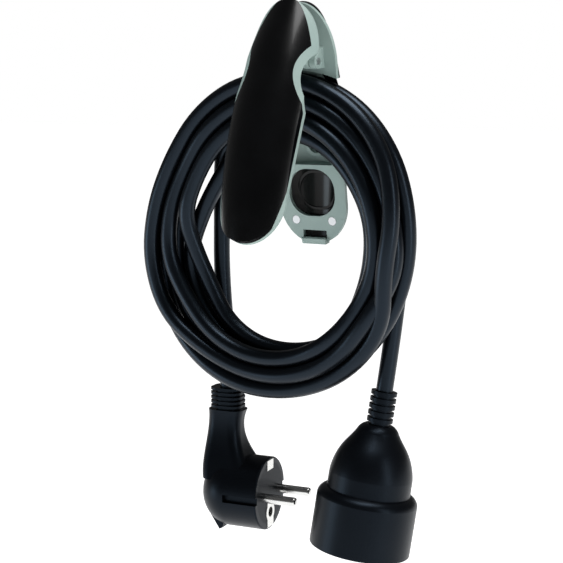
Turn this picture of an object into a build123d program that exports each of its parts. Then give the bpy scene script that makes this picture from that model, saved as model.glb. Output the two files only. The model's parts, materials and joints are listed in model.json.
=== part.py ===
"""Extension lead hanging coiled from a two-leaf hinged cable clip.

Millimetres. +Z up, +X right, +Y towards the wall. The origin is the middle of the
screw hole in the clip's back leaf, on the leaf's back face. The clip hangs from that
hole, so its back leaf leans, the lead is gripped under the hinge, and both of its
ends hang straight down.
"""

from build123d import *
from math import atan2, cos, degrees, hypot, radians, sin, sqrt, tan
import os

# ---- driving dimensions: the cable clip -------------------------------------------
leaf_half_width = 18.3       # both leaves, at the finger levers
jaw_half_width = 17.1        # the front leaf's lower jaw
tip_height = 28.0            # height of the pointed oval at a leaf's top end
heel_height = 20.0           # height of the rounder oval at its bottom end
crown_radius = 24.0          # roundness of a leaf across its width
cover_wall = 2.0
liner_thick = 2.2
lever_length = 26.8          # from hinge pin to the top of a leaf
back_lean = 9.9              # lean of the back leaf off plumb, degrees
back_depth = 13.0            # wall face to the front of the back liner
back_bottom = -48.2          # bottom of the back leaf, below the screw hole
hinge_up = 42.4              # hinge pin above the screw hole, along the back leaf
hinge_out = 19.0             # hinge pin in front of the wall face
jaw_tilt = 21.7              # lean of the open front jaw, degrees
jaw_length = 93.2            # from hinge pin to the bottom of the front leaf
jaw_plane = 11.2             # hinge pin to the front leaf's rim plane
front_bulge = 13.0           # rim plane to the crest of the front cover
lever_rim = (10.2, 12.6)     # rim of the front lever above the hinge and at its tip
lever_liner = 4.2            # the front liner is deeper along the lever
heel_wall = 3.0              # height of a cover's wall at its ends
arch_span = (-30.0, 0.5)     # arched gap over the cable bundle, along the front leaf
arch_crest = 17.6
trough_bottom = -8.5         # cable trough across the back leaf
trough_side = (32.6, 36.0)   # its upper corners, right and left
trough_top = 37.4
trough_floor = 3.5
floor_thick = 1.5
pin_radius = 1.5
pin_clearance = 0.05
ear_radius = 3.4
ear_gap = 0.4
ear_thick = 3.0
front_ear_x = 6.0            # inner side of a front ear
screw_hole_r = 2.2
screw_head_r = 4.4
ring_r = 6.0                 # raised ring round the screw hole
ring_height = 1.6
window_half_width = 12.6     # oval window in the back liner
window_top = -10.6
window_bottom = -34.2
window_corner = 10.5
collar_half_width = 9.3      # oval collar inside it
collar_height = 17.4
collar_rise = 5.5
boss_r = 2.9                 # screw bosses
hook_half_width = 6.5
hook_reach = 2.6             # snap hook in front of the back rim
hook_slot_up = 4.9           # window over the hook, above the leaf's bottom
hook_slot_height = 4.0
catch_slot = (-90.4, -83.4)  # slot in the front liner that takes the hook
liner_screw_r = 1.5
liner_screw_head_r = 2.1
liner_screw_x = 10.0
back_screw_y = -36.4
back_screw_len = 4.6
front_screw_x = 8.0
front_screw_y = -70.0
front_screw_len = 6.2
fit = 0.15                   # gap between pieces that are pushed together

# ---- driving dimensions: cord ------------------------------------------------------
cord_d = 8.4
coil_depth = 17.0
coil_back = -10.5            # back of the coiled bundle
coil_round = 4.0

# ---- driving dimensions: plug ------------------------------------------------------
plug_turn = 6.6              # turn of the pins off +X, degrees
plug_face = (-28.33, -1.43, -182.1)
plug_face_r = 19.0
plug_cheek = 19.0            # length of the round front part
plug_depth = 35.0
plug_dome_r = 7.0
pin_r = 2.4
pin_len = 19.0
pin_pitch = 19.0
pin_root = 14.0              # the part of a pin inside the plug
pin_root_r = 2.0
insert_r = 16.0
insert_depth = 9.0
groove_width = 4.0
groove_depth = 2.6
groove_len = 18.5
handle_back = -23.8          # handle's centre line behind the face
handle_thick = 14.0
handle_width = 19.8
handle_top = 43.0            # top of the smooth handle above the pins
relief_top = 54.6            # top of the ribbed strain relief
relief_ribs = 5
relief_size = (17.0, 13.0)
earth_strip_width = 7.4
earth_strip_thick = 0.8
earth_ring_r = 5.0
earth_hole_r = 2.65
earth_hole_y = -10.0
earth_hole_depth = 16.0
wire_r = 1.2                 # one insulated conductor
crimp = 4.2                  # side of a crimp block

# ---- driving dimensions: socket ----------------------------------------------------
socket_down = Vector(-0.11, -0.11, -0.985).normalized()
socket_boot_top = Vector(39.0, -6.0, -119.4)
socket_len = 79.0            # boot top to the rim of the skirt
skirt_r = 24.8
skirt_height = 26.8          # above it the skirt rounds in to the body
body_r = 20.5
body_top = 40.2              # where the round body starts to narrow, above the rim
neck_r = 15.9                # half way down the shoulder
neck_top = 50.7
collar_r = 10.4              # top of the shoulder
collar_top = 60.0
recess_r = 19.7
recess_depth = 17.5
carrier_r = 17.0
carrier_depth = 18.0
contact_hole_r = 2.75
contact_sleeve_r = 3.5
contact_bore_r = 2.45
crimp_room_r = 15.0            # inside of the coupling round its crimps
socket_cord_in = 24.0        # how far the cord runs into the socket
boot_r = 6.4
boot_ribs = 5
boot_len = 16.6
plug_cord_in = 37.0          # height of the cord's end above the pins

# ---- driving dimensions: cord route ------------------------------------------------
twist_gap = 0.1              # between the cord's end that turns with the plug and the rest
plug_tail_bend = -106.0      # height where the plug's cord starts to lean out
plug_tail_mid = Vector(-55.6, -4.1, -68.0)
plug_tail_turn = Vector(-55.0, -4.3, -12.0)
plug_tail_end = Vector(-28.0, -15.0, 18.0)
socket_tail_out = 20.0       # straight run above the socket's boot
socket_tail_mid = Vector(47.3, -5.5, -50.0)
socket_tail_end = Vector(46.0, -17.0, -12.0)
coil_outer = [
    (-10, 34.3), (39, 15), (59.9, -36), (43, -95), (-14, -127.3), (-70, -112), (-93, -71), (-72, 0),
]
coil_inner = [
    (-8, -1), (30, -14), (39.5, -47), (26, -83), (-5, -104), (-41, -87), (-54.7, -47), (-44, -15),
]
nest_cut = (19.0, 8.5)       # room for the closed jaw, cut off the bundle's lower front edge



# ---- frames --------------------------------------------------------------------------
def tilted(origin, degrees_off):
    """Frame of a leaf: x across, y up along it, z out of its front, leaning by an angle."""
    lean = radians(degrees_off)
    return Plane(origin=origin, x_dir=(1, 0, 0), z_dir=(0, -cos(lean), sin(lean)))


def side_of(frame):
    """Side view of a frame: x along the leaf, y out of its front."""
    return Plane(origin=frame.origin, x_dir=frame.y_dir, z_dir=frame.x_dir)


back_leaf = tilted((0, 0, 0), -back_lean)
hinge_point = back_leaf.from_local_coords(Vector(0, hinge_up, hinge_out))
front_leaf = tilted(hinge_point, jaw_tilt)
back_side = side_of(back_leaf)
front_side = side_of(front_leaf)
back_top = hinge_up + lever_length
front_top = lever_length - 2.6
hinge_axis = Axis(hinge_point, (1, 0, 0))


# ---- shared shapes of the two leaves ---------------------------------------------------
def leaf_outline(frame, height, top, bottom, inset=0.0, jaw=None):
    """Long oval outline of a leaf at a height above its frame; inset shrinks it."""
    half = leaf_half_width - inset
    low = (jaw or leaf_half_width) - inset
    with BuildSketch(frame.offset(height), mode=Mode.PRIVATE) as outline:
        with Locations((0, top - tip_height)):
            Ellipse(half, tip_height - inset)
        with Locations((0, bottom + heel_height)):
            Ellipse(low, heel_height - inset)
        with BuildLine():
            Polyline(
                (-half, top - tip_height),
                (half, top - tip_height),
                (low, bottom + heel_height),
                (-low, bottom + heel_height),
                close=True,
            )
        make_face()
    return outline.sketch


def crown(side, frame, axis_height, sign, top, bottom, edge_height, shrink=0.0):
    """Barrel whose skin is a leaf's crowned outside: an arc turned about the leaf's length."""
    middle = (top + bottom) / 2
    reach = (top - bottom) / 2 + 3
    ends = edge_height - shrink
    with BuildPart(mode=Mode.PRIVATE) as barrel:
        with BuildSketch(side):
            with BuildLine():
                ThreePointArc(
                    (middle - reach, axis_height + sign * ends),
                    (middle, axis_height + sign * (crown_radius - shrink)),
                    (middle + reach, axis_height + sign * ends),
                )
                Polyline(
                    (middle + reach, axis_height + sign * ends),
                    (middle + reach, axis_height),
                    (middle - reach, axis_height),
                    (middle - reach, axis_height + sign * ends),
                )
            make_face()
        spin_at = frame.from_local_coords(Vector(0, 0, axis_height))
        revolve(axis=Axis(spin_at, frame.y_dir))
    return barrel.part


def ear(frame_side, x_inner, centre, base_low, base_high, bore):
    """Pair of hinge ears, one each side, from a base on the liner round the pin."""
    with BuildPart(mode=Mode.PRIVATE) as ears:
        for x_start in (x_inner, -x_inner - ear_thick):
            with BuildSketch(frame_side.offset(x_start)) as profile:
                with Locations(centre):
                    Circle(ear_radius)
                with BuildLine():
                    Polyline(
                        base_low,
                        (centre[0] - ear_radius, centre[1]),
                        (centre[0] + ear_radius, centre[1]),
                        base_high,
                        close=True,
                    )
                make_face()
                with Locations(centre):
                    Circle(bore, mode=Mode.SUBTRACT)
            extrude(amount=ear_thick)
    return ears.part


def on_leaf(frame, height, x, y):
    """The two places of a leaf's liner screws."""
    return [frame.offset(height) * Location((side * x, y, 0)) for side in (-1, 1)]


def screw_pair(frame, seat, x, y, length):
    """Two small countersunk screws, heads flush in a liner."""
    with BuildPart(mode=Mode.PRIVATE) as screws:
        with Locations(*on_leaf(frame, seat, x, y)):
            Cylinder(liner_screw_head_r, 1.0, align=(Align.CENTER, Align.CENTER, Align.MAX))
            Cylinder(liner_screw_r, length, align=(Align.CENTER, Align.CENTER, Align.MAX))
    return screws.part


def screw_holes(frame, seat, x, y, length):
    """Clearance for screw_pair."""
    with BuildPart(mode=Mode.PRIVATE) as holes:
        with Locations(*on_leaf(frame, seat, x, y)):
            Cylinder(liner_screw_head_r + fit, 1.0 + fit, align=(Align.CENTER, Align.CENTER, Align.MAX))
            Cylinder(liner_screw_r + fit / 2, length, align=(Align.CENTER, Align.CENTER, Align.MAX))
    return holes.part


# ---- back leaf ---------------------------------------------------------------------------
back_split = back_depth - liner_thick
back_axis = crown_radius - 1.0
back_edge = back_axis - back_split + heel_wall
back_inner = crown_radius - back_axis + cover_wall
back_skin = crown(back_side, back_leaf, back_axis, -1, back_top, back_bottom, back_edge)
back_hollow = crown(back_side, back_leaf, back_axis, -1, back_top, back_bottom, back_edge, back_inner)


def trough_cut(from_height, grow=0.0, wide=leaf_half_width + 2):
    """Body cut out of the back leaf for the cables: level below, following the coil above."""
    drop = (trough_side[1] - trough_side[0]) / (2 * leaf_half_width)
    with BuildPart(mode=Mode.PRIVATE) as cut:
        with BuildSketch(back_leaf.offset(from_height)):
            with BuildLine():
                ThreePointArc(
                    (-wide, trough_side[1] - 2 * drop + grow),
                    (-0.45 * wide, trough_top + grow),
                    (wide, trough_side[0] - 2 * drop + grow),
                )
                Polyline(
                    (wide, trough_side[0] - 2 * drop + grow),
                    (wide, trough_bottom - grow),
                    (-wide, trough_bottom - grow),
                    (-wide, trough_side[1] - 2 * drop + grow),
                )
            make_face()
        extrude(amount=back_depth + 2 - from_height)
    return cut.part


def leaf_room(frame, from_height, to_height, top, bottom, skin, inset, jaw=None):
    """Body inside a leaf: its outline inset, up to a crowned skin."""
    with BuildPart(mode=Mode.PRIVATE) as room:
        extrude(leaf_outline(frame, from_height, top, bottom, inset, jaw), amount=to_height - from_height)
        add(skin, mode=Mode.INTERSECT)
    return room.part


liner_skin = crown(
    back_side, back_leaf, back_axis, -1, back_top, back_bottom, back_edge, back_inner + fit
)
back_room = leaf_room(back_leaf, cover_wall, back_depth, back_top, back_bottom, back_hollow, cover_wall)
pan_room = leaf_room(
    back_leaf, cover_wall + fit, back_split + 0.5, back_top, back_bottom, liner_skin, cover_wall + fit
)
back_shape = leaf_room(back_leaf, 0, back_split, back_top, back_bottom, back_skin, 0)
trough_skin = crown(
    back_side, back_leaf, back_axis, -1, back_top, back_bottom, back_edge, back_inner + fit + floor_thick
)
back_screw_holes = screw_holes(back_leaf, back_depth, liner_screw_x, back_screw_y, back_screw_len)

# Where the coiled bundle passes through the sides of the back leaf.
with BuildPart() as bundle_way:
    add(trough_cut(0))
    with Locations((0, coil_back + 0.3 - 40, 0)):
        Box(80, 80, 200, mode=Mode.INTERSECT)

with BuildPart() as trough_room:
    add(trough_cut(trough_floor))
    add(trough_skin, mode=Mode.INTERSECT)

with BuildPart() as pan:
    add(trough_cut(cover_wall + fit, 1.6))
    add(pan_room, mode=Mode.INTERSECT)
    add(trough_room.part, mode=Mode.SUBTRACT)
    add(bundle_way.part, mode=Mode.SUBTRACT)

with BuildPart() as back_cover:
    add(back_shape)
    add(back_room, mode=Mode.SUBTRACT)
    add(bundle_way.part, mode=Mode.SUBTRACT)
    with BuildSketch(back_leaf.offset(cover_wall)):
        with Locations((0, (window_top + window_bottom) / 2)):
            RectangleRounded(2 * collar_half_width + 2.4, collar_height + 2.4, collar_half_width)
            RectangleRounded(2 * collar_half_width, collar_height, collar_half_width - 1, mode=Mode.SUBTRACT)
    extrude(amount=collar_rise)
    with Locations(*on_leaf(back_leaf, cover_wall, liner_screw_x, back_screw_y)):
        Cylinder(boss_r, back_split - cover_wall - fit, align=(Align.CENTER, Align.CENTER, Align.MIN))
    add(back_shape, mode=Mode.INTERSECT)
    add(back_screw_holes, mode=Mode.SUBTRACT)
    with Locations(back_leaf.location):
        Cylinder(screw_hole_r, 3 * cover_wall, mode=Mode.SUBTRACT)
back_cover.part.label = "back_cover"

with BuildPart() as back_liner:
    extrude(leaf_outline(back_leaf, back_split, back_top, back_bottom), amount=liner_thick)
    add(trough_cut(0), mode=Mode.SUBTRACT)
    add(pan.part)
    with Locations(back_leaf.offset(trough_floor).location):
        Cylinder(ring_r, ring_height, align=(Align.CENTER, Align.CENTER, Align.MIN))
        Cylinder(screw_head_r, 2 * ring_height, align=(Align.CENTER, Align.CENTER, Align.MIN), mode=Mode.SUBTRACT)
    with Locations(back_leaf.location):
        Cylinder(screw_hole_r, 12 * cover_wall, mode=Mode.SUBTRACT)
    with BuildSketch(back_leaf.offset(back_split - 1)):
        with Locations((0, (window_top + window_bottom) / 2)):
            RectangleRounded(2 * window_half_width, window_top - window_bottom, window_corner)
        with Locations((0, back_bottom + hook_slot_up)):
            Rectangle(2 * hook_half_width, hook_slot_height)
    extrude(amount=liner_thick + 2, mode=Mode.SUBTRACT)
    with BuildSketch(back_side.offset(-hook_half_width)):
        with BuildLine():
            Polyline(
                (back_bottom + 2.9, back_split),
                (back_bottom + 2.9, back_depth + hook_reach - 1.2),
                (back_bottom + 3.7, back_depth + hook_reach - 1.0),
                (back_bottom + 3.1, back_depth + hook_reach),
                (back_bottom + 0.3, back_depth + hook_reach - 0.8),
                (back_bottom + 0.3, back_split),
                close=True,
            )
        make_face()
    extrude(amount=2 * hook_half_width)
    add(
        ear(
            back_side,
            front_ear_x + ear_thick + ear_gap,
            (hinge_up, hinge_out),
            (hinge_up - 3.9, back_split + 0.5),
            (hinge_up + 7.0, back_split + 0.5),
            pin_radius,
        )
    )
    add(back_screw_holes, mode=Mode.SUBTRACT)
back_liner.part.label = "back_liner"

# ---- front leaf --------------------------------------------------------------------------
front_bottom = -jaw_length
front_split_low = jaw_plane + liner_thick
front_crest = jaw_plane + front_bulge
front_axis = front_crest - crown_radius
front_edge = front_split_low + heel_wall - front_axis
front_skin = crown(front_side, front_leaf, front_axis, 1, front_top, front_bottom, front_edge)
front_hollow = crown(
    front_side, front_leaf, front_axis, 1, front_top, front_bottom, front_edge, cover_wall
)
front_shape = leaf_room(
    front_leaf, 0, front_crest + 2, front_top, front_bottom, front_skin, 0, jaw_half_width
)
front_room = leaf_room(
    front_leaf, 0, front_crest, front_top, front_bottom, front_hollow, cover_wall, jaw_half_width
)


def rim_line(raise_by):
    """Rim of the front leaf, raised towards its front; adds its edges to the open BuildLine."""
    spread = 0.45 * raise_by
    lever_raise = raise_by * lever_liner / liner_thick
    jaw_end = (front_bottom - 2, jaw_plane + raise_by)
    foot = (arch_span[0] - spread, jaw_plane + raise_by)
    crest = (sum(arch_span) / 2, arch_crest + raise_by)
    knee = (arch_span[1] + spread, lever_rim[0] + lever_raise)
    slope = (lever_rim[1] - lever_rim[0]) / (front_top - arch_span[1])
    tip = (front_top + 2, knee[1] + slope * (front_top + 2 - knee[0]))
    Line(jaw_end, foot)
    ThreePointArc(foot, crest, knee)
    Line(knee, tip)
    return jaw_end, tip


def front_band(low, high):
    """Body between two lines that follow the front rim: jaw, arch, lever."""
    reach = leaf_half_width + 1
    with BuildPart(mode=Mode.PRIVATE) as band:
        with BuildSketch(front_side.offset(-reach)):
            with BuildLine():
                low_ends = rim_line(low)
                high_ends = rim_line(high)
                Line(low_ends[0], high_ends[0])
                Line(low_ends[1], high_ends[1])
            make_face()
        extrude(amount=2 * reach)
    return band.part


def below_rim(raise_by):
    """Everything behind a line that follows the front rim."""
    reach = leaf_half_width + 1
    with BuildPart(mode=Mode.PRIVATE) as body:
        with BuildSketch(front_side.offset(-reach)):
            with BuildLine():
                ends = rim_line(raise_by)
                Polyline(ends[0], (ends[0][0], -30), (ends[1][0], -30), ends[1])
            make_face()
        extrude(amount=2 * reach)
    return body.part


# The front liner's screws go in from the rim side, so they stand on a frame facing back.
front_back_face = Plane(
    origin=front_leaf.origin, x_dir=(-1, 0, 0), z_dir=front_leaf.z_dir * -1
)
front_screw_holes = screw_holes(
    front_back_face, -jaw_plane, front_screw_x, front_screw_y, front_screw_len
)

with BuildPart() as front_cover:
    add(front_shape)
    add(front_room, mode=Mode.SUBTRACT)
    with Locations(*on_leaf(front_leaf, front_split_low, front_screw_x, front_screw_y)):
        Cylinder(boss_r, front_bulge - liner_thick, align=(Align.CENTER, Align.CENTER, Align.MIN))
    add(front_shape, mode=Mode.INTERSECT)
    add(below_rim(liner_thick), mode=Mode.SUBTRACT)
    add(front_screw_holes, mode=Mode.SUBTRACT)
front_cover.part.label = "front_cover"

with BuildPart() as front_liner:
    add(front_shape)
    add(front_band(0, liner_thick), mode=Mode.INTERSECT)
    with BuildSketch(front_leaf.offset(jaw_plane - 1)):
        with Locations((0, sum(catch_slot) / 2)):
            Rectangle(2 * hook_half_width + 1, catch_slot[1] - catch_slot[0])
    extrude(amount=liner_thick + 1.5, mode=Mode.SUBTRACT)
    add(
        ear(
            front_side,
            front_ear_x,
            (0, 0),
            (-4.2, 12.0),
            (9.0, 11.5),
            pin_radius + pin_clearance,
        )
    )
    add(front_screw_holes, mode=Mode.SUBTRACT)
front_liner.part.label = "front_liner"

# ---- hinge pin and liner screws ----------------------------------------------------------
pin_reach = front_ear_x + 2 * ear_thick + ear_gap + 0.6
with BuildPart() as hinge_pin:
    with Locations(Plane(origin=hinge_point, z_dir=(1, 0, 0)).location):
        Cylinder(pin_radius, 2 * pin_reach)
hinge_pin.part.label = "hinge_pin"

with BuildPart() as back_screws:
    add(screw_pair(back_leaf, back_depth, liner_screw_x, back_screw_y, back_screw_len))
back_screws.part.label = "back_liner_screws"

with BuildPart() as front_screws:
    add(screw_pair(front_back_face, -jaw_plane, front_screw_x, front_screw_y, front_screw_len))
front_screws.part.label = "front_liner_screws"

# ---- plug --------------------------------------------------------------------------------
turn = radians(plug_turn)
plug_plane = Plane(
    origin=plug_face, x_dir=(-sin(turn), cos(turn), 0), z_dir=(cos(turn), sin(turn), 0)
)
plug_side = Plane(origin=plug_face, x_dir=plug_plane.z_dir, z_dir=plug_plane.x_dir * -1)
plug_up = Plane(origin=plug_face, x_dir=plug_plane.z_dir, z_dir=(0, 0, 1))
MINS = (Align.CENTER, Align.CENTER, Align.MIN)
MAXS = (Align.CENTER, Align.CENTER, Align.MAX)


def rod(frame, x, y, low, high, radius, mode=Mode.ADD):
    """Cylinder along a frame's z, between two heights; goes into the open part."""
    with Locations(frame.location * Location((x, y, low))):
        Cylinder(radius, high - low, align=MINS, mode=mode)


def block(frame, middle, size, mode=Mode.ADD):
    """Box in a frame; goes into the open part."""
    with Locations(frame.location * Location(middle)):
        Box(*size, mode=mode)


def wire(start, end):
    """Straight conductor between two points."""
    along = end - start
    return Solid.make_cylinder(wire_r, along.length, Plane(origin=start, z_dir=along))


with BuildPart() as plug_earth_strap:
    strap = earth_strip_width
    thick = earth_strip_thick
    side_y = plug_face_r - 1.2
    with BuildSketch(plug_plane.offset(0.3 - thick)):
        with Locations((0, (earth_hole_y + 6.0 - side_y) / 2)):
            Rectangle(strap, side_y + earth_hole_y + 6.0)
        with Locations((0, earth_hole_y)):
            Circle(earth_ring_r)
        with Locations((0, (12.7 + side_y) / 2)):
            Rectangle(strap, side_y - 12.7)
    extrude(amount=thick)
    for sign in (-1, 1):
        block(plug_plane, (0, sign * (side_y - thick / 2), -7.0 + 0.15), (strap, thick, 14.3))
    block(plug_plane, (0, 0, -insert_depth - thick / 2), (strap, 2 * side_y, thick))
    rod(plug_plane, 0, earth_hole_y, -earth_hole_depth, 0, earth_hole_r + 0.9)
    block(plug_plane, (0, 2.5, -insert_depth - thick - crimp / 2), (crimp, 9.0, crimp))
    rod(plug_plane, 0, earth_hole_y, -earth_hole_depth, 1, earth_hole_r, Mode.SUBTRACT)
plug_earth_strap.part.label = "plug_earth_strap"


def plug_pin(side):
    """One round pin with a domed tip."""
    with BuildPart(mode=Mode.PRIVATE) as pin:
        rod(plug_plane, side * pin_pitch / 2, 0, -pin_root, 0, pin_root_r)
        rod(plug_plane, side * pin_pitch / 2, 0, 0, pin_len, pin_r)
        tips = pin.edges().filter_by(GeomType.CIRCLE)
        far = max(tips, key=lambda e: plug_plane.to_local_coords(e.center()).Z)
        fillet(far, radius=1.5)
    return pin.part


with BuildPart() as plug_pin_line:
    add(plug_pin(-1))
plug_pin_line.part.label = "plug_pin_line"

with BuildPart() as plug_pin_neutral:
    add(plug_pin(1))
plug_pin_neutral.part.label = "plug_pin_neutral"

with BuildPart() as plug_insert:
    rod(plug_plane, 0, 0, -insert_depth, 0, insert_r)
    for sign in (-1, 1):
        rod(plug_plane, sign * pin_pitch / 2, 0, -insert_depth, 1, pin_root_r, Mode.SUBTRACT)
    add(plug_earth_strap.part, mode=Mode.SUBTRACT)
    rod(plug_plane, 0, earth_hole_y, -earth_hole_depth, 1, earth_hole_r, Mode.SUBTRACT)
plug_insert.part.label = "plug_insert"

with BuildPart(mode=Mode.PRIVATE) as plug_room:
    rod(plug_plane, 0, 0, -pin_root - crimp - 7.5, -insert_depth, 14.0)
    for height, middle, deep, wide in ((6.0, -20.0, 20.0, 24.0), (plug_cord_in, handle_back, 8.6, 8.6)):
        with BuildSketch(plug_up.offset(height)):
            with Locations((middle, 0)):
                RectangleRounded(deep, wide, 3)
    loft()

with BuildPart() as plug_grip:
    with BuildSketch(plug_side):
        with BuildLine():
            Line((0, 0), (0, plug_face_r - 0.8))
            RadiusArc((0, plug_face_r - 0.8), (-0.8, plug_face_r), -0.8)
            Line((-0.8, plug_face_r), (-plug_cheek, plug_face_r))
            ThreePointArc((-plug_cheek, plug_face_r), (-30.5, 14.6), (-plug_depth, plug_dome_r))
            Polyline((-plug_depth, plug_dome_r), (-plug_depth, 0), (0, 0))
        make_face()
    revolve(axis=Axis(plug_face, plug_plane.z_dir))
    for height, middle, deep, wide in (
        (8.0, -19.5, 28.0, 30.0),
        (20.0, -23.6, 22.4, 21.0),
        (31.0, -24.9, 18.4, 15.0),
        (handle_top, handle_back, handle_width, handle_thick),
    ):
        with BuildSketch(plug_up.offset(height)):
            with Locations((middle, 0)):
                RectangleRounded(deep, wide, 5.5)
    loft()
    with BuildSketch(plug_side.offset(-7.0)):
        with BuildLine():
            Polyline(
                (-plug_depth + 4.0, -13.0),
                (-plug_depth + 9.0, -plug_face_r - 1.6),
                (-plug_depth + 11.0, -plug_face_r - 0.6),
                (-plug_depth + 12.0, -13.0),
                close=True,
            )
        make_face()
    extrude(amount=14.0)
    for sign in (-1, 1):
        middle = (sign * (plug_face_r - groove_depth / 2 + 1), 0, -groove_len / 2)
        block(plug_plane, middle, (groove_depth + 2, groove_width, groove_len), Mode.SUBTRACT)
    rod(plug_plane, 0, 0, -insert_depth, 1, insert_r, Mode.SUBTRACT)
    add(plug_room.part, mode=Mode.SUBTRACT)
    add(plug_earth_strap.part, mode=Mode.SUBTRACT)
    rod(plug_plane, 0, earth_hole_y, -earth_hole_depth - 1, 0, earth_hole_r + 0.9, Mode.SUBTRACT)
    rod(plug_up, handle_back, 0, plug_cord_in - 1, handle_top + 1, cord_d / 2, Mode.SUBTRACT)
plug_grip.part.label = "plug_grip"

with BuildPart() as plug_strain_relief:
    relief_len = relief_top - handle_top
    rib = relief_len / (2 * relief_ribs)
    with BuildSketch(plug_up.offset(handle_top)):
        with Locations((handle_back, 0)):
            RectangleRounded(relief_size[0] - 5.0, relief_size[1] - 2.0, 4.5)
    extrude(amount=relief_len)
    for index in range(relief_ribs):
        with BuildSketch(plug_up.offset(handle_top + (2 * index + 1) * rib)):
            with Locations((handle_back, 0)):
                RectangleRounded(relief_size[0], relief_size[1], 4.5)
        extrude(amount=rib)
    rod(plug_up, handle_back, 0, handle_top - 1, relief_top + 1, cord_d / 2, Mode.SUBTRACT)
plug_strain_relief.part.label = "plug_strain_relief"

plug_crimp_z = -pin_root - crimp / 2
with BuildPart() as plug_crimps:
    for sign in (-1, 1):
        block(plug_plane, (sign * pin_pitch / 2, 2.5, plug_crimp_z), (crimp, 9.0, crimp))
plug_crimps.part.label = "plug_crimps"


def plug_point(x, y, z):
    return plug_plane.from_local_coords(Vector(x, y, z))


with BuildPart() as plug_wire_line:
    add(wire(plug_point(-pin_pitch / 2, 7, plug_crimp_z), plug_point(-2.0, plug_cord_in, handle_back - 1.2)))
plug_wire_line.part.label = "plug_wire_line"

with BuildPart() as plug_wire_neutral:
    add(wire(plug_point(pin_pitch / 2, 7, plug_crimp_z), plug_point(2.0, plug_cord_in, handle_back - 1.2)))
plug_wire_neutral.part.label = "plug_wire_neutral"

with BuildPart() as plug_wire_earth:
    earth_z = -insert_depth - earth_strip_thick - crimp / 2
    add(wire(plug_point(0, 7, earth_z), plug_point(0, plug_cord_in, handle_back + 2.3)))
plug_wire_earth.part.label = "plug_wire_earth"

# ---- socket ------------------------------------------------------------------------------
across = (Vector(1, 0, 0) - socket_down * socket_down.X).normalized()
socket_plane = Plane(origin=socket_boot_top, x_dir=across, z_dir=socket_down)
socket_side = Plane(origin=socket_boot_top, x_dir=socket_down, z_dir=across.cross(socket_down))
rim = socket_len
floor_s = socket_len - recess_depth
carrier_s = floor_s - carrier_depth

with BuildPart() as socket_earth_bow:
    thick = earth_strip_thick
    bow_r = carrier_r + fit + thick
    blade_r = recess_r + 0.05 + thick
    step_s = floor_s - thick
    for sign in (-1, 1):
        block(
            socket_plane,
            (0, sign * (bow_r - thick / 2), (carrier_s + floor_s) / 2),
            (earth_strip_width, thick, carrier_depth),
        )
        block(
            socket_plane,
            (0, sign * (bow_r - thick + blade_r) / 2, step_s + thick / 2),
            (earth_strip_width, blade_r - bow_r + thick, thick),
        )
        block(
            socket_plane,
            (0, sign * (blade_r - thick / 2), (step_s + rim - 5.0) / 2),
            (earth_strip_width, thick, rim - 5.0 - step_s),
        )
    block(
        socket_plane,
        (0, 0, carrier_s - earth_strip_thick / 2),
        (earth_strip_width, 2 * bow_r, earth_strip_thick),
    )
    block(socket_plane, (0, 0, carrier_s - earth_strip_thick - crimp / 2), (crimp, crimp, crimp))
socket_earth_bow.part.label = "socket_earth_bow"

with BuildPart() as socket_insert:
    rod(socket_plane, 0, 0, carrier_s, floor_s, carrier_r)
    for sign in (-1, 1):
        x = sign * pin_pitch / 2
        rod(socket_plane, x, 0, carrier_s - 1, floor_s + 1, contact_hole_r, Mode.SUBTRACT)
        rod(socket_plane, x, 0, carrier_s - 1, floor_s - 2, contact_sleeve_r, Mode.SUBTRACT)
socket_insert.part.label = "socket_insert"


def socket_contact(side):
    """Sleeve that takes one pin, closed at its back."""
    x = side * pin_pitch / 2
    with BuildPart(mode=Mode.PRIVATE) as sleeve:
        rod(socket_plane, x, 0, carrier_s - 3.0, floor_s - 2, contact_sleeve_r)
        rod(socket_plane, x, 0, carrier_s - 1.8, floor_s, contact_bore_r, Mode.SUBTRACT)
    return sleeve.part


with BuildPart() as socket_contact_line:
    add(socket_contact(-1))
socket_contact_line.part.label = "socket_contact_line"

with BuildPart() as socket_contact_neutral:
    add(socket_contact(1))
socket_contact_neutral.part.label = "socket_contact_neutral"

with BuildPart() as socket_body:
    with BuildSketch(socket_side):
        with BuildLine():
            shoulder = [
                (rim - collar_top + 1.2, collar_r),
                (rim - (collar_top + neck_top) / 2, 12.6),
                (rim - neck_top, neck_r),
                (rim - body_top - 3.0, body_r - 1.2),
                (rim - body_top + 3.0, body_r),
            ]
            Line((boot_len, cord_d / 2), (boot_len, boot_r + 0.4))
            Spline((boot_len, boot_r + 0.4), (boot_len + 1.5, 9.0), shoulder[0])
            Spline(*shoulder)
            step = rim - skirt_height
            Line(shoulder[-1], (step - 2.6, body_r + 0.1))
            RadiusArc((step - 2.6, body_r + 0.1), (step + 1.6, skirt_r), 4.9)
            Line((step + 1.6, skirt_r), (rim - 0.8, skirt_r))
            RadiusArc((rim - 0.8, skirt_r), (rim, skirt_r - 0.8), 0.8)
            Polyline(
                (rim, skirt_r - 0.8),
                (rim, recess_r),
                (floor_s, recess_r),
                (floor_s, carrier_r),
                (carrier_s, carrier_r),
                (carrier_s, carrier_r - 1.5),
                (carrier_s - crimp, crimp_room_r),
                (socket_cord_in, cord_d / 2),
                (boot_len, cord_d / 2),
            )
        make_face()
    revolve(axis=Axis(socket_boot_top, socket_down))
    add(socket_earth_bow.part, mode=Mode.SUBTRACT)
socket_body.part.label = "socket_body"

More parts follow.
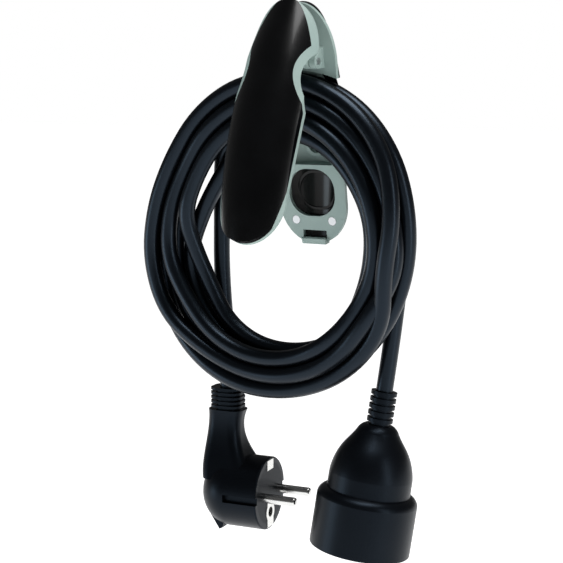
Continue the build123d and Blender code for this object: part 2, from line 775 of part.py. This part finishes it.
with BuildPart() as socket_strain_relief:
    rod(socket_plane, 0, 0, 0, boot_len, boot_r - 1.2)
    pitch = boot_len / boot_ribs
    for index in range(boot_ribs):
        rod(socket_plane, 0, 0, index * pitch, index * pitch + 0.55 * pitch, boot_r)
    rod(socket_plane, 0, 0, -1, boot_len + 1, cord_d / 2, Mode.SUBTRACT)
socket_strain_relief.part.label = "socket_strain_relief"

crimp_end = carrier_s - 3.0 - crimp
with BuildPart() as socket_crimps:
    for sign in (-1, 1):
        block(
            socket_plane,
            (sign * pin_pitch / 2, 0, crimp_end + crimp / 2),
            (crimp, crimp, crimp),
        )
socket_crimps.part.label = "socket_crimps"


def socket_point(x, y, z):
    return socket_plane.from_local_coords(Vector(x, y, z))


with BuildPart() as socket_wire_line:
    add(wire(socket_point(-pin_pitch / 2, 0, crimp_end), socket_point(-2.0, -1.2, socket_cord_in)))
socket_wire_line.part.label = "socket_wire_line"

with BuildPart() as socket_wire_neutral:
    add(wire(socket_point(pin_pitch / 2, 0, crimp_end), socket_point(2.0, -1.2, socket_cord_in)))
socket_wire_neutral.part.label = "socket_wire_neutral"

with BuildPart() as socket_wire_earth:
    bow_end = carrier_s - earth_strip_thick - crimp
    add(wire(socket_point(0, 0, bow_end), socket_point(0, 2.3, socket_cord_in)))
socket_wire_earth.part.label = "socket_wire_earth"


# ---- cord --------------------------------------------------------------------------------
def tube(points):
    """Round cord along a route whose corners are rounded as widely as its runs allow."""
    points = [Vector(*p) for p in points]
    radii = []
    for before, corner, after in zip(points, points[1:], points[2:]):
        bend = radians((corner - before).get_angle(after - corner))
        shorter = min((corner - before).length, (after - corner).length)
        radii.append(0.45 * shorter / tan(bend / 2))
    print("bend radii", [round(r, 1) for r in radii])
    with BuildPart(mode=Mode.PRIVATE) as cord:
        with BuildLine() as route:
            FilletPolyline(*points, radius=radii)
        with BuildSketch(Plane(origin=route.wire() @ 0, z_dir=route.wire() % 0)):
            Circle(cord_d / 2)
        sweep()
    return cord.part


with BuildPart() as plug_cord_end:
    rod(plug_up, handle_back, 0, plug_cord_in, relief_top, cord_d / 2)
plug_cord_end.part.label = "plug_cord_end"

handle_line = plug_point(0, 0, handle_back)
plug_tail = [
    plug_point(0, relief_top + twist_gap, handle_back),
    Vector(handle_line.X, handle_line.Y, plug_tail_bend),
    plug_tail_mid,
    plug_tail_turn,
    plug_tail_end,
]
with BuildPart() as plug_tail_cord:
    add(tube(plug_tail))
plug_tail_cord.part.label = "plug_tail_cord"

socket_tail = [
    socket_boot_top + socket_down * socket_cord_in,
    socket_boot_top - socket_down * socket_tail_out,
    socket_tail_mid,
    socket_tail_end,
]
with BuildPart() as socket_tail_cord:
    add(tube(socket_tail))
socket_tail_cord.part.label = "socket_tail_cord"

with BuildPart() as cord_coil:
    with BuildSketch(Plane.XZ.offset(-coil_back)):
        with BuildLine():
            Spline(*coil_outer, periodic=True)
        make_face()
        with BuildLine():
            Spline(*coil_inner, periodic=True)
        make_face(mode=Mode.SUBTRACT)
    extrude(amount=coil_depth)
    fillet(cord_coil.edges(), radius=coil_round)
    front = coil_back - coil_depth
    with BuildSketch(Plane.YZ.offset(-nest_cut[0])):
        with BuildLine():
            Polyline(
                (front - 1, nest_cut[1] + 1.0),
                (front + 8.0, -1.0),
                (front + 8.0, -20.0),
                (front - 1, -20.0),
                close=True,
            )
        make_face()
    extrude(amount=2 * nest_cut[0], mode=Mode.SUBTRACT)
cord_coil.part.label = "cord_coil"

# ---- exports -----------------------------------------------------------------------------
os.makedirs("parts", exist_ok=True)
export_step(back_cover.part, "parts/back_cover.step")
export_step(back_liner.part, "parts/back_liner.step")
export_step(back_screws.part, "parts/back_liner_screws.step")
export_step(front_cover.part, "parts/front_cover.step")
export_step(front_liner.part, "parts/front_liner.step")
export_step(front_screws.part, "parts/front_liner_screws.step")
export_step(hinge_pin.part, "parts/hinge_pin.step")
export_step(plug_grip.part, "parts/plug_grip.step")
export_step(plug_insert.part, "parts/plug_insert.step")
export_step(plug_pin_line.part, "parts/plug_pin_line.step")
export_step(plug_pin_neutral.part, "parts/plug_pin_neutral.step")
export_step(plug_earth_strap.part, "parts/plug_earth_strap.step")
export_step(plug_strain_relief.part, "parts/plug_strain_relief.step")
export_step(plug_crimps.part, "parts/plug_crimps.step")
export_step(plug_wire_line.part, "parts/plug_wire_line.step")
export_step(plug_wire_neutral.part, "parts/plug_wire_neutral.step")
export_step(plug_wire_earth.part, "parts/plug_wire_earth.step")
export_step(socket_body.part, "parts/socket_body.step")
export_step(socket_insert.part, "parts/socket_insert.step")
export_step(socket_contact_line.part, "parts/socket_contact_line.step")
export_step(socket_contact_neutral.part, "parts/socket_contact_neutral.step")
export_step(socket_earth_bow.part, "parts/socket_earth_bow.step")
export_step(socket_strain_relief.part, "parts/socket_strain_relief.step")
export_step(socket_crimps.part, "parts/socket_crimps.step")
export_step(socket_wire_line.part, "parts/socket_wire_line.step")
export_step(socket_wire_neutral.part, "parts/socket_wire_neutral.step")
export_step(socket_wire_earth.part, "parts/socket_wire_earth.step")
export_step(plug_cord_end.part, "parts/plug_cord_end.step")
export_step(plug_tail_cord.part, "parts/plug_tail_cord.step")
export_step(socket_tail_cord.part, "parts/socket_tail_cord.step")
export_step(cord_coil.part, "parts/cord_coil.step")

ALL = [
    back_cover, back_liner, back_screws, front_cover, front_liner, front_screws, hinge_pin,
    plug_grip, plug_insert, plug_pin_line, plug_pin_neutral, plug_earth_strap, plug_strain_relief,
    plug_crimps, plug_wire_line, plug_wire_neutral, plug_wire_earth,
    socket_body, socket_insert, socket_contact_line, socket_contact_neutral, socket_earth_bow,
    socket_strain_relief, socket_crimps, socket_wire_line, socket_wire_neutral, socket_wire_earth,
    plug_cord_end, plug_tail_cord, socket_tail_cord, cord_coil,
]
for made in ALL:
    box = made.part.bounding_box()
    low = tuple(round(v, 1) for v in box.min)
    high = tuple(round(v, 1) for v in box.max)
    print(made.part.label, len(made.part.solids()), round(made.part.volume), low, high)
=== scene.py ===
"""Looks of a coiled extension lead hanging from a hinged cable clip.

Metres, in the model's own frame: +Z up, +X right, +Y towards the wall, with the origin
at the clip's wall screw. The camera and the cord come first, then the finishes and the studio.
"""

import json
from math import cos, hypot, radians, sin

import bpy
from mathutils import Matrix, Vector


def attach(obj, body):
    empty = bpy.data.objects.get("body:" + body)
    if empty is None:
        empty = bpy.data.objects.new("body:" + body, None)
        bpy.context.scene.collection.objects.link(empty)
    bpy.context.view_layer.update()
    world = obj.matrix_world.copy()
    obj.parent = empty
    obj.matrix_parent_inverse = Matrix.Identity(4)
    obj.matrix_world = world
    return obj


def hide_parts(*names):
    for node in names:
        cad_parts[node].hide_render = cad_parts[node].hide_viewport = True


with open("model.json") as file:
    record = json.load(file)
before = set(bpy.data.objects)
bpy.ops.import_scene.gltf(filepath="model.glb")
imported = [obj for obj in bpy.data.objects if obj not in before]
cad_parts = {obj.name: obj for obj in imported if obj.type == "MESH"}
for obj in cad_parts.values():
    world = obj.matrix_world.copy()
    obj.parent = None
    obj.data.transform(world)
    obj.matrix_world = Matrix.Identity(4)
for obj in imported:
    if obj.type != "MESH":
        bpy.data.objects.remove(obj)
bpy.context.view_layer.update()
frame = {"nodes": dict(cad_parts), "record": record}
scene = bpy.context.scene
nodes = frame["nodes"]
MM = 0.001


# ---- camera --------------------------------------------------------------------------
view_turn, view_rise = radians(30), radians(8)
view_distance = 0.651
look_at = Vector((-0.0107, -0.020, -0.0675))
sight = Vector((-sin(view_turn) * cos(view_rise), cos(view_turn) * cos(view_rise), -sin(view_rise)))
lens = bpy.data.cameras.new("camera")
lens.lens = 85
lens.sensor_width = 36
lens.clip_end = 50
camera = bpy.data.objects.new("camera", lens)
camera.location = look_at - sight * view_distance
camera.rotation_euler = sight.to_track_quat("-Z", "Y").to_euler()
scene.collection.objects.link(camera)
scene.camera = camera

# ---- cord ----------------------------------------------------------------------------
CORD_R = 4.2
MIDDLE = (-16.0, -46.0)        # middle of the coil, X and Z, mm
BACK_ROW, FRONT_ROW = -14.7, -23.1
TURNS = 6
STEPS = 16                     # route points in one turn
OVERRUN = 34.0                 # degrees of cord before the first top and past the last one
TURN_STARTS = 40.0             # degrees before its top at which a turn is counted
LAST_PASS_ENDS = 60            # degrees past the top until which the seventh pass is there
SPLINE_SWELL = 1.012           # the smooth cord runs a little inside its route points
PUSHES = 80                    # rounds of pushing turns apart

# A turn moves to the next one's place on its way up the left side, the last turn first.
MOVE_FROM, MOVE_LAG, MOVE_OVER = 185, 14, 42    # degrees
CLIP_PITCH = 8.45              # between passes of the cord in the clip
CLIP_REACH = 28                # degrees over which the clip lets go of the cord
SLACK, SLACK_DEPTH = 1.3, 0.8  # waviness outside the clip, mm, and its share in depth
SLACK_TURN = 1.9               # how far the waves move on from turn to turn, radians

# Outside and inside radius of the bundle, clockwise from its top in steps of 30 degrees.
OUTSIDE = [82, 81, 77, 71, 73, 75, 77.5, 80.5, 81.5, 71.5, 70, 76]
INSIDE = [47, 49, 50, 52, 53, 57, 55, 49, 43, 38, 39, 42]

# Where each pass of the cord lies in the clip: its layer, and its row from the top.
PLACES = [
    (BACK_ROW, 2), (BACK_ROW, 3), (FRONT_ROW, 2), (FRONT_ROW, 1), (FRONT_ROW, 0),
    (BACK_ROW, 0), (BACK_ROW, 1),
]


def ring(values, angle):
    """Value at an angle, between two entries of a ring of twelve."""
    place = (angle % 360) / 30
    low = int(place)
    part = ease(place - low)
    return values[low % 12] * (1 - part) + values[(low + 1) % 12] * part


def ease(value):
    """Smooth step from 0 to 1."""
    value = min(1.0, max(0.0, value))
    return value * value * (3 - 2 * value)


def wanted(turn, angle):
    """Radius and depth that a turn would take at an angle, before its neighbours push it."""
    moved = ease((angle - MOVE_FROM - (TURNS - 1 - turn) * MOVE_LAG) / MOVE_OVER)
    last = min(turn + 1, len(PLACES) - 1)
    layer = PLACES[turn][0] * (1 - moved) + PLACES[last][0] * moved
    row = PLACES[turn][1] * (1 - moved) + PLACES[last][1] * moved
    outer = ring(OUTSIDE, angle) - CORD_R
    inner = ring(INSIDE, angle) + CORD_R
    in_clip = ease(1.6 - abs((angle + 180) % 360 - 180) / CLIP_REACH)
    loose = SLACK * sin(radians(angle) * 2 + turn * SLACK_TURN) * (1 - in_clip)
    radius = outer - (outer - inner) * row / 3
    clip_radius = outer - CLIP_PITCH * row
    radius = radius * (1 - in_clip) + clip_radius * in_clip + loose
    return [radius, layer + SLACK_DEPTH * loose]


def settle(angle, turns):
    """Places of the given turns at one angle, pushed apart so that none overlap."""
    places = [wanted(turn, angle) for turn in turns]
    for _ in range(PUSHES):
        for one in range(len(places)):
            for two in range(one):
                gap = [a - b for a, b in zip(places[one], places[two])]
                apart = hypot(*gap) or 0.001
                push = (2 * CORD_R - apart) / 2
                if push > 0:
                    for axis in (0, 1):
                        places[one][axis] += gap[axis] / apart * push
                        places[two][axis] -= gap[axis] / apart * push
    return {turn: place for turn, place in zip(turns, places)}


def coil_points():
    """Route points of the turns, clockwise seen from the front, from the clip's left."""
    start, finish = -OVERRUN, 360.0 * TURNS + OVERRUN
    step = 360.0 / STEPS
    points = []
    count = int((finish - start) / step)
    for index in range(count + 1):
        travelled = start + step * index
        turn = int((travelled + TURN_STARTS) // 360)
        angle = travelled - 360 * turn
        turns = [t for t in range(TURNS + 1) if t < TURNS or angle < LAST_PASS_ENDS]
        radius, depth = settle(angle, turns)[turn]
        radius *= SPLINE_SWELL
        points.append(
            (
                MIDDLE[0] + radius * sin(radians(angle)),
                depth,
                MIDDLE[1] + radius * cos(radians(angle)),
            )
        )
    return points


plug_tail = [
    (-51.97, -4.17, -127.4), (-51.97, -4.17, -106.0), (-55.6, -4.1, -68.0), (-55.0, -4.3, -36.0),
    (-54.2, -5.6, -16.0),
]
socket_tail = [
    (48.5, -6.5, -22.0), (47.3, -4.6, -50.0), (41.21, -3.79, -99.7), (36.35, -8.65, -143.04),
]
route = plug_tail + coil_points() + socket_tail


def cord_object(name, points, radius):
    """Round cord on one smooth open spline."""
    data = bpy.data.curves.new(name, "CURVE")
    data.dimensions = "3D"
    data.bevel_depth = radius
    data.bevel_resolution = 7
    data.resolution_u = 8
    data.use_fill_caps = True
    spline = data.splines.new("NURBS")
    spline.points.add(len(points) - 1)
    for point, place in zip(spline.points, points):
        point.co = (place[0] * MM, place[1] * MM, place[2] * MM, 1)
    spline.order_u = 3
    spline.use_endpoint_u = True
    obj = bpy.data.objects.new(name, data)
    scene.collection.objects.link(obj)
    return obj


cord = cord_object("cord", route, CORD_R * MM)
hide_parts("plug_tail_cord", "socket_tail_cord", "cord_coil")
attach(cord, "hanging_lead")


# ---- shader helpers --------------------------------------------------------------------
class Value:
    """A shader socket that takes part in ordinary sums."""

    def __init__(self, finish, socket):
        self.finish, self.socket = finish, socket

    def _maths(self, operation, first, second):
        return self.finish.node("ShaderNodeMath", {"operation": operation}, {0: first, 1: second})[0]

    def __add__(self, other):
        return self._maths("ADD", self, other)

    def __mul__(self, other):
        return self._maths("MULTIPLY", self, other)

    __radd__ = __add__
    __rmul__ = __mul__


class Finish:
    """One material, with a single way to make its nodes."""

    def __init__(self, name):
        self.material = bpy.data.materials.new(name)
        self.material.use_nodes = True
        self.tree = self.material.node_tree
        self.surface = self.tree.nodes["Principled BSDF"]

    def put(self, socket, value):
        if isinstance(value, Value):
            self.tree.links.new(value.socket, socket)
        else:
            socket.default_value = value

    def node(self, kind, settings=None, values=None):
        """Node of a type, its settings, then its sockets; gives its outputs back."""
        made = self.tree.nodes.new(kind)
        for key, value in (settings or {}).items():
            if key == "stops":
                ramp = made.color_ramp
                while len(ramp.elements) < len(value):
                    ramp.elements.new(0.5)
                for element, (place, colour) in zip(ramp.elements, value):
                    element.position = place
                    element.color = colour
            else:
                setattr(made, key, value)
        for key, value in (values or {}).items():
            self.put(made.inputs[key], value)
        return [Value(self, output) for output in made.outputs]

    def place(self):
        return self.node("ShaderNodeTexCoord")[3]

    def noise(self, scale, detail=3.0, where=None, roughness=0.5):
        return self.node(
            "ShaderNodeTexNoise",
            {},
            {"Vector": where or self.place(), "Scale": scale, "Detail": detail, "Roughness": roughness},
        )[0]

    def ramp(self, value, stops):
        return self.node("ShaderNodeValToRGB", {"stops": stops}, {0: value})[0]

    def bump(self, height, strength, distance):
        return self.node(
            "ShaderNodeBump", {}, {"Height": height, "Strength": strength, "Distance": distance}
        )[0]

    def mix(self, factor, first, second):
        made = self.node(
            "ShaderNodeMix",
            {"data_type": "RGBA"},
            {0: factor, 6: first, 7: second},
        )
        return made[2]

    def set(self, **values):
        for key, value in values.items():
            self.put(self.surface.inputs[key.replace("_", " ")], value)
        return self


def grey(level):
    return (level, level, level, 1)


def gloss_cover():
    """Polished black moulding: deep gloss, a trace of handling haze and a slow ripple."""
    finish = Finish("clip_cover_black")
    haze = finish.noise(60, 4)
    wipes = finish.noise(900, 2)
    wave = finish.noise(35, 1)
    finish.set(
        Base_Color=finish.ramp(
            haze, [(0.3, (0.0010, 0.0011, 0.0013, 1)), (0.8, (0.0022, 0.0024, 0.0028, 1))]
        ),
        Roughness=0.16 + 0.09 * haze + 0.03 * wipes,
        Specular_IOR_Level=0.20,
        Coat_Weight=0.05 + 0.05 * haze,
        Coat_Roughness=0.08,
        Normal=finish.bump(wave, 0.05, 0.0006),
    )
    return finish.material


def liner_plastic():
    """Green-grey moulding with a fine satin grain."""
    finish = Finish("clip_liner_grey")
    cloud = finish.noise(45, 4)
    grain = finish.noise(2600, 2)
    colour = finish.ramp(cloud, [(0.25, (0.27, 0.36, 0.34, 1)), (0.8, (0.34, 0.43, 0.40, 1))])
    finish.set(
        Base_Color=colour,
        Roughness=0.34 + 0.16 * grain,
        Specular_IOR_Level=0.3,
        Normal=finish.bump(grain, 0.12, 0.00012),
    )
    return finish.material


def soft_black(name, low, high, rough, grain_scale, depth):
    """Moulded black plastic or rubber with a spark-eroded grain."""
    finish = Finish(name)
    cloud = finish.noise(38, 4)
    grain = finish.noise(grain_scale, 3)
    dust = finish.noise(420, 6, roughness=0.7)
    colour = finish.ramp(cloud, [(0.3, low), (0.75, high)])
    finish.set(
        Base_Color=finish.mix(0.015 * dust, colour, (0.03, 0.033, 0.04, 1)),
        Roughness=rough + 0.14 * grain + 0.06 * cloud,
        Specular_IOR_Level=0.15,
        Specular_Tint=(0.55, 0.75, 1.0, 1),
        Normal=finish.bump(grain, 0.22, depth),
    )
    return finish.material


def cord_jacket():
    """Black flexible jacket: satin, with a fine drawn grain, dull patches and small scuffs."""
    finish = Finish("cord_jacket_black")
    cloud = finish.noise(30, 4)
    fine = finish.noise(1500, 3)
    scuff = finish.noise(240, 5, roughness=0.65)
    colour = finish.ramp(cloud, [(0.3, (0.0006, 0.0007, 0.0010, 1)), (0.75, (0.0014, 0.0016, 0.0022, 1))])
    finish.set(
        Base_Color=finish.mix(0.02 * scuff, colour, (0.02, 0.023, 0.028, 1)),
        Roughness=0.20 + 0.10 * fine + 0.12 * scuff,
        Specular_IOR_Level=0.30,
        Specular_Tint=(0.55, 0.75, 1.0, 1),
        Normal=finish.bump(fine, 0.10, 0.0001),
    )
    return finish.material


def metal(name, colour, rough, scratch):
    """Plated or turned metal with fine marks."""
    finish = Finish(name)
    cloud = finish.noise(130, 3)
    lines = finish.noise(scratch, 2)
    dull = tuple(channel * 0.8 for channel in colour[:3]) + (1,)
    finish.set(
        Base_Color=finish.mix(cloud, colour, dull),
        Roughness=rough + 0.12 * lines,
        Metallic=1.0,
        Normal=finish.bump(lines, 0.08, 0.00008),
    )
    return finish.material


def sleeve(name, colour):
    """Coloured insulation of one conductor."""
    finish = Finish(name)
    cloud = finish.noise(220, 3)
    dark = tuple(channel * 0.75 for channel in colour[:3]) + (1,)
    finish.set(Base_Color=finish.mix(cloud, dark, colour), Roughness=0.38 + 0.1 * cloud)
    return finish.material


def striped_sleeve():
    """Green and yellow insulation of the earth conductor."""
    finish = Finish("earth_sleeve")
    bands = finish.node(
        "ShaderNodeTexWave", {"wave_type": "BANDS", "bands_direction": "X"},
        {"Vector": finish.place(), "Scale": 180.0, "Distortion": 0.0},
    )[1]
    colour = finish.mix(finish.ramp(bands, [(0.46, grey(0)), (0.54, grey(1))]),
                        (0.05, 0.35, 0.04, 1), (0.75, 0.62, 0.02, 1))
    finish.set(Base_Color=colour, Roughness=0.4)
    return finish.material


finishes = {
    "cover_gloss": gloss_cover(),
    "liner_grey": liner_plastic(),
    "screw_steel": metal("screw_steel", (0.56, 0.57, 0.58, 1), 0.26, 1200),
    "pin_steel": metal("pin_nickel", (0.66, 0.66, 0.65, 1), 0.14, 1600),
    "plug_black": soft_black(
        "plug_rubber_black", (0.0012, 0.0014, 0.0020, 1), (0.0026, 0.0030, 0.0040, 1), 0.26, 1900, 0.00012
    ),
    "insert_black": soft_black(
        "insert_black", (0.0020, 0.0022, 0.0028, 1), (0.0040, 0.0044, 0.0052, 1), 0.36, 1500, 0.0001
    ),
    "contact_brass": metal("contact_brass", (0.72, 0.53, 0.26, 1), 0.24, 1300),
    "earth_metal": metal("earth_nickel", (0.74, 0.74, 0.72, 1), 0.22, 1400),
    "wire_brown": sleeve("line_sleeve", (0.16, 0.07, 0.03, 1)),
    "wire_blue": sleeve("neutral_sleeve", (0.02, 0.10, 0.42, 1)),
    "wire_green": striped_sleeve(),
    "cord_black": cord_jacket(),
}

slot_of = {entry["node"]: entry["material_slot"] for entry in frame["record"]["subparts"]}
for name, node in nodes.items():
    if not node.material_slots:
        node.data.materials.append(None)
    for slot in node.material_slots:
        slot.material = finishes[slot_of[name]]
cord.data.materials.append(finishes["cord_black"])


# ---- studio ----------------------------------------------------------------------------
def studio_floor():
    """Flat white floor below the lead, which gives light of its own."""
    bpy.ops.object.select_all(action="DESELECT")
    bpy.ops.mesh.primitive_plane_add(size=30, location=(0, 0, -0.42))
    floor = bpy.context.object
    floor.name = "floor"
    finish = Finish("floor_white")
    finish.set(Base_Color=grey(0.9), Roughness=0.9, Emission_Color=grey(1), Emission_Strength=1.0)
    floor.data.materials.append(finish.material)


def soft_light(name, place, aim, size, power, tint=(1, 1, 1)):
    data = bpy.data.lights.new(name, "AREA")
    data.shape = "RECTANGLE"
    data.size, data.size_y = size
    data.energy = power
    data.color = tint
    lamp = bpy.data.objects.new(name, data)
    lamp.location = place
    lamp.rotation_euler = (Vector(aim) - Vector(place)).to_track_quat("-Z", "Y").to_euler()
    scene.collection.objects.link(lamp)


def studio_air():
    """White surroundings to look at, which light the lead only softly."""
    world = bpy.data.worlds.new("studio")
    world.use_nodes = True
    parts, links = world.node_tree.nodes, world.node_tree.links
    seen = parts.new("ShaderNodeLightPath")
    strength = parts.new("ShaderNodeMapRange")
    strength.inputs["To Min"].default_value = 0.10
    strength.inputs["To Max"].default_value = 1.0
    links.new(seen.outputs["Is Camera Ray"], strength.inputs["Value"])
    background = parts["Background"]
    background.inputs["Color"].default_value = (1, 1, 1, 1)
    links.new(strength.outputs["Result"], background.inputs["Strength"])
    scene.world = world


studio_floor()
studio_air()
soft_light("top", (0.25, -0.15, 1.1), (0, 0, -0.05), (0.8, 0.5), 13)
soft_light("right", (1.2, -0.35, 0.15), (0, 0, -0.1), (0.2, 1.0), 4)
soft_light("low left", (-0.9, -0.7, -0.30), (-0.05, 0, -0.18), (0.4, 0.5), 2.5, (0.75, 0.9, 1.0))
scene.view_settings.view_transform = "Standard"

bpy.context.view_layer.update()
